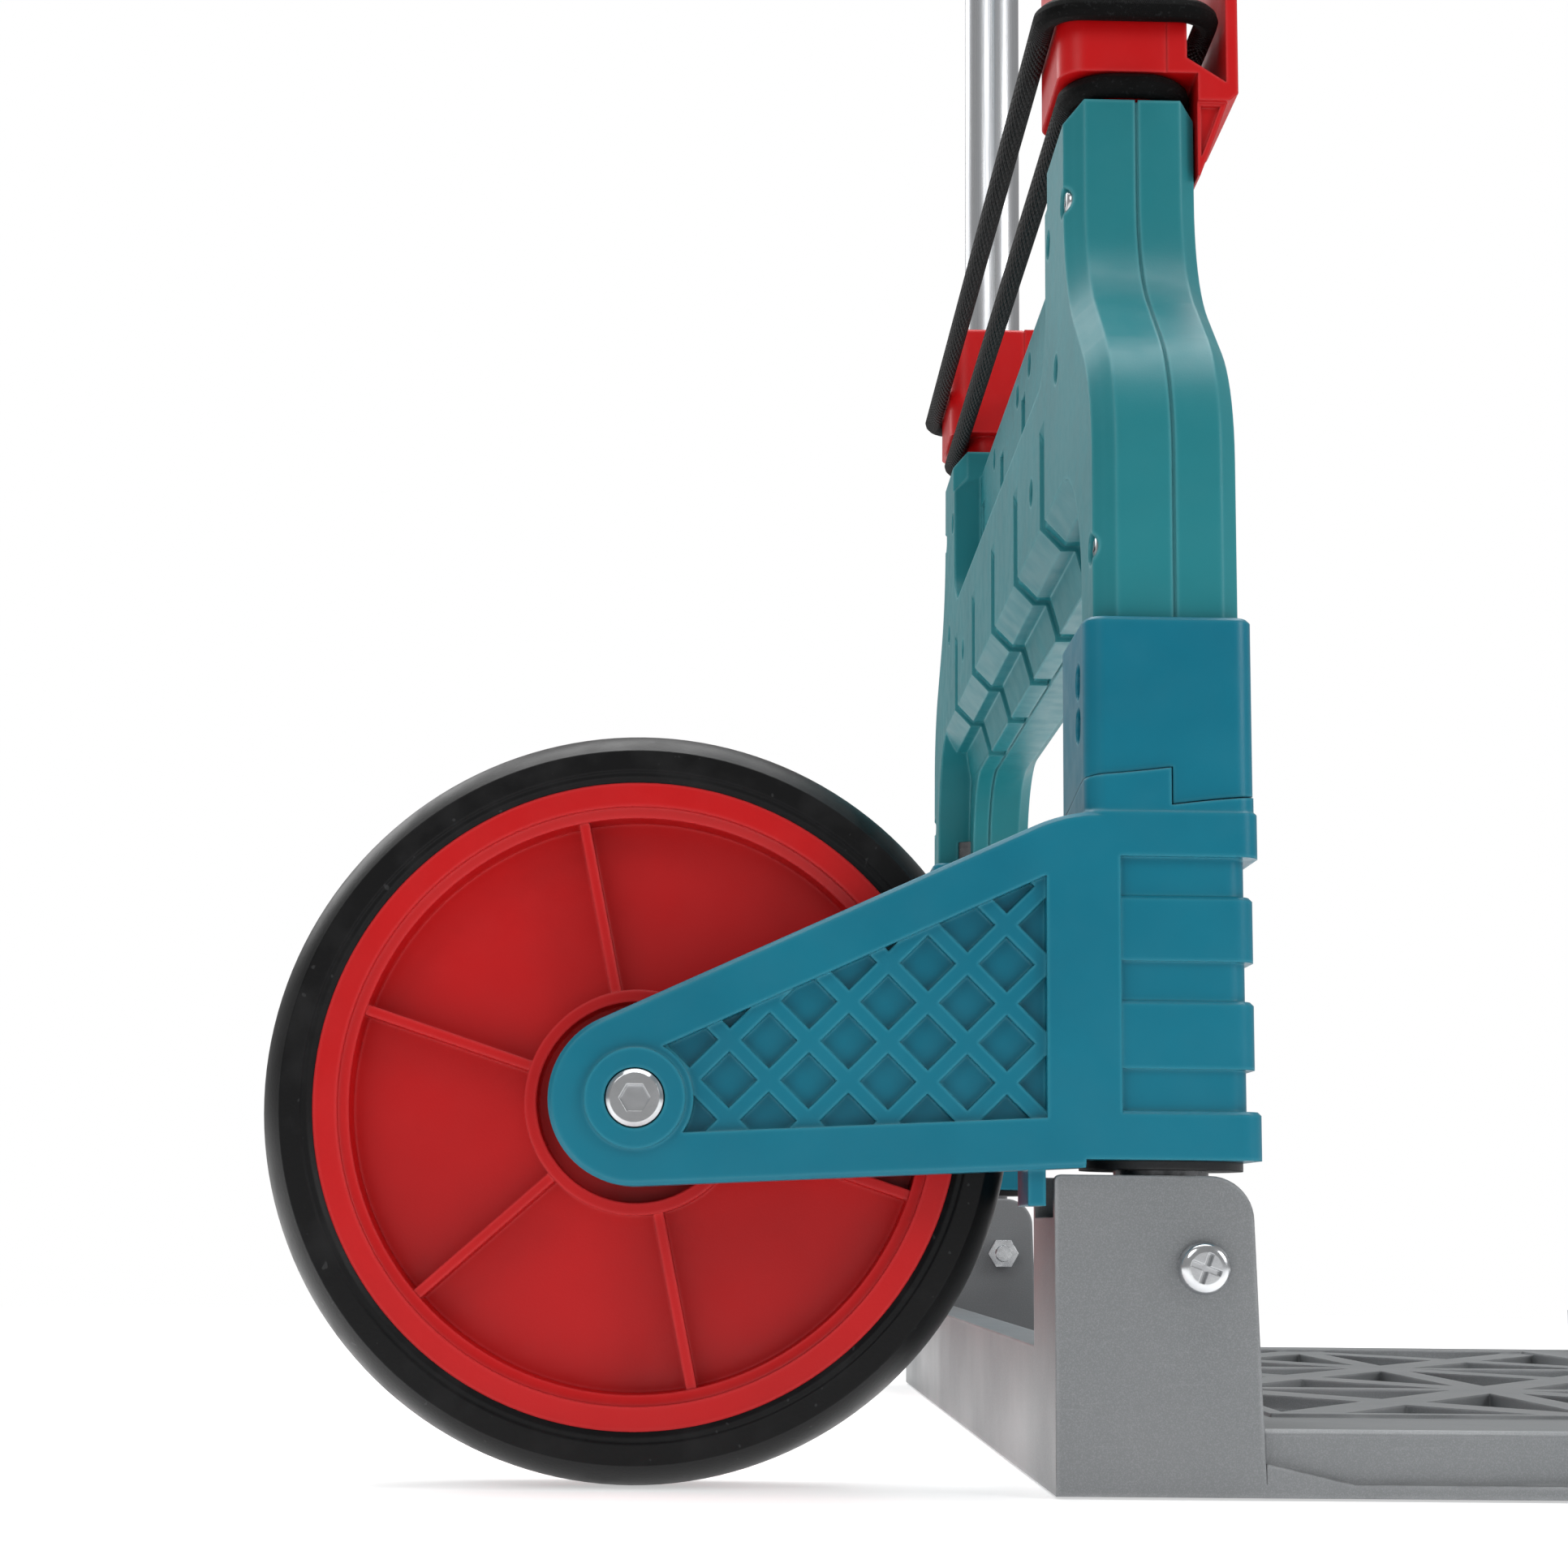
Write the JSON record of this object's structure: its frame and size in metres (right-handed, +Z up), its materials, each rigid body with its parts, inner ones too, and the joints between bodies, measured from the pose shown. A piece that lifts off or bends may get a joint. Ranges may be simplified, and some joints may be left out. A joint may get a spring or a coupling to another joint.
{
  "type": "folding platform cart",
  "caption": "Folding hand truck: toe plate that folds up and swings both wheels in through helical cams, moulded arch frame and telescopic handle.",
  "frame": {"origin": "centre of the cart's outer box, on the floor it stands on, with the handle pushed in", "axes": "+X across the cart, +Y back towards the wheels, +Z up"},
  "size_m": [0.485, 0.459, 0.7315],
  "materials": {
    "frame_green": "satin moulded nylon",
    "bracket_blue": "satin moulded nylon",
    "red_plastic": "satin moulded plastic",
    "black_plastic": "moulded, fine texture",
    "tyre_rubber": "moulded",
    "black_rubber": "matt",
    "plate_grey": "silver-grey powder coat on die-cast aluminium",
    "tube_aluminium": "satin anodised",
    "zinc_steel": "bright zinc plate",
    "spring_steel": "oiled spring steel",
    "elastic_braid": "braided polyester over rubber"
  },
  "bodies": {
    "frame": {"frame_rear_shell": "frame_green", "frame_front_shell": "frame_green", "shell_screws": "zinc_steel", "sleeve_screws": "zinc_steel", "tube_bridge": "bracket_blue", "elastic_cord_lower": "elastic_braid", "elastic_cord_upper": "elastic_braid", "leg_sleeve_left": "bracket_blue", "leg_sleeve_right": "bracket_blue", "pivot_tube_left": "spring_steel", "pivot_tube_right": "spring_steel", "hinge_block_left": "black_plastic", "hinge_block_right": "black_plastic", "cam_spring_left": "spring_steel", "cam_spring_right": "spring_steel", "outer_tube_left": "tube_aluminium", "outer_tube_right": "tube_aluminium", "hook_collar_left": "red_plastic", "hook_collar_right": "red_plastic"},
    "toe_plate": {"toe_plate": "plate_grey", "plate_feet": "black_rubber", "corner_bumpers": "black_rubber", "hinge_screws": "zinc_steel", "hinge_nuts": "zinc_steel"},
    "thrust_washer_left": {"thrust_washer_left": "black_plastic"},
    "thrust_washer_right": {"thrust_washer_right": "black_plastic"},
    "bracket_left": {"wheel_bracket_left": "bracket_blue", "axle_screw_left": "zinc_steel", "axle_spacer_left": "zinc_steel", "axle_nut_left": "zinc_steel"},
    "bracket_right": {"wheel_bracket_right": "bracket_blue", "axle_screw_right": "zinc_steel", "axle_spacer_right": "zinc_steel", "axle_nut_right": "zinc_steel"},
    "wheel_left": {"wheel_hub_left": "red_plastic", "tyre_left": "tyre_rubber", "wheel_bushes_left": "black_plastic"},
    "wheel_right": {"wheel_hub_right": "red_plastic", "tyre_right": "tyre_rubber", "wheel_bushes_right": "black_plastic"},
    "handle": {"handle_front_shell": "black_plastic", "handle_rear_shell": "black_plastic", "handle_screws": "zinc_steel", "grip_sleeve": "black_rubber", "button_spring": "spring_steel", "inner_tube_left": "tube_aluminium", "inner_tube_right": "tube_aluminium", "latch_plug_left": "black_plastic", "latch_plug_right": "black_plastic"},
    "release_button": {"release_button": "red_plastic", "latch_bar": "black_plastic", "latch_rod_left": "zinc_steel", "latch_rod_right": "zinc_steel"},
    "latch_pin_left": {"latch_pin_left": "zinc_steel"},
    "latch_pin_right": {"latch_pin_right": "zinc_steel"}
  },
  "joints": [
    {"name": "plate_fold", "type": "hinge", "parent": "frame", "child": "toe_plate", "pos_m": [0, 0.0134, 0.051], "axis": [-1, 0, 0], "range_deg": [0, 90]},
    {"name": "bracket_drop_left", "type": "slide", "parent": "frame", "child": "thrust_washer_left", "axis": [0, 0, -1], "range_m": [0, 0.00435], "deforming": ["cam_spring_left"]},
    {"name": "bracket_turn_left", "type": "hinge", "parent": "thrust_washer_left", "child": "bracket_left", "pos_m": [-0.218, 0.02, 0.1], "axis": [0, 0, -1], "range_deg": [0, 90]},
    {"name": "wheel_spin_left", "type": "hinge", "parent": "bracket_left", "child": "wheel_left", "pos_m": [-0.209, 0.142, 0.0875], "axis": [1, 0, 0], "continuous": true},
    {"name": "bracket_drop_right", "type": "slide", "parent": "frame", "child": "thrust_washer_right", "axis": [0, 0, -1], "range_m": [0, 0.00435], "deforming": ["cam_spring_right"]},
    {"name": "bracket_turn_right", "type": "hinge", "parent": "thrust_washer_right", "child": "bracket_right", "pos_m": [0.218, 0.02, 0.1], "axis": [0, 0, 1], "range_deg": [0, 90]},
    {"name": "wheel_spin_right", "type": "hinge", "parent": "bracket_right", "child": "wheel_right", "pos_m": [0.209, 0.142, 0.0875], "axis": [1, 0, 0], "continuous": true},
    {"name": "handle_slide", "type": "slide", "parent": "frame", "child": "handle", "axis": [0, 0, 1], "range_m": [0, 0.29]},
    {"name": "button_press", "type": "slide", "parent": "handle", "child": "release_button", "axis": [0, 0, -1], "range_m": [0, 0.006], "stiffness_N_per_m": 800, "springref_m": -0.006, "deforming": ["button_spring"]},
    {"name": "pin_retract_left", "type": "slide", "parent": "handle", "child": "latch_pin_left", "axis": [1, 0, 0], "range_m": [0, 0.003]},
    {"name": "pin_retract_right", "type": "slide", "parent": "handle", "child": "latch_pin_right", "axis": [-1, 0, 0], "range_m": [0, 0.003]}
  ],
  "couplings": [
    {"joint": "bracket_drop_left", "follows": "plate_fold", "m_per_rad": 0.0027693},
    {"joint": "bracket_turn_left", "follows": "plate_fold", "ratio": 1},
    {"joint": "pin_retract_left", "follows": "button_press", "ratio": 0.5},
    {"joint": "bracket_drop_right", "follows": "plate_fold", "m_per_rad": 0.0027693},
    {"joint": "bracket_turn_right", "follows": "plate_fold", "ratio": 1},
    {"joint": "pin_retract_right", "follows": "button_press", "ratio": 0.5}
  ]
}
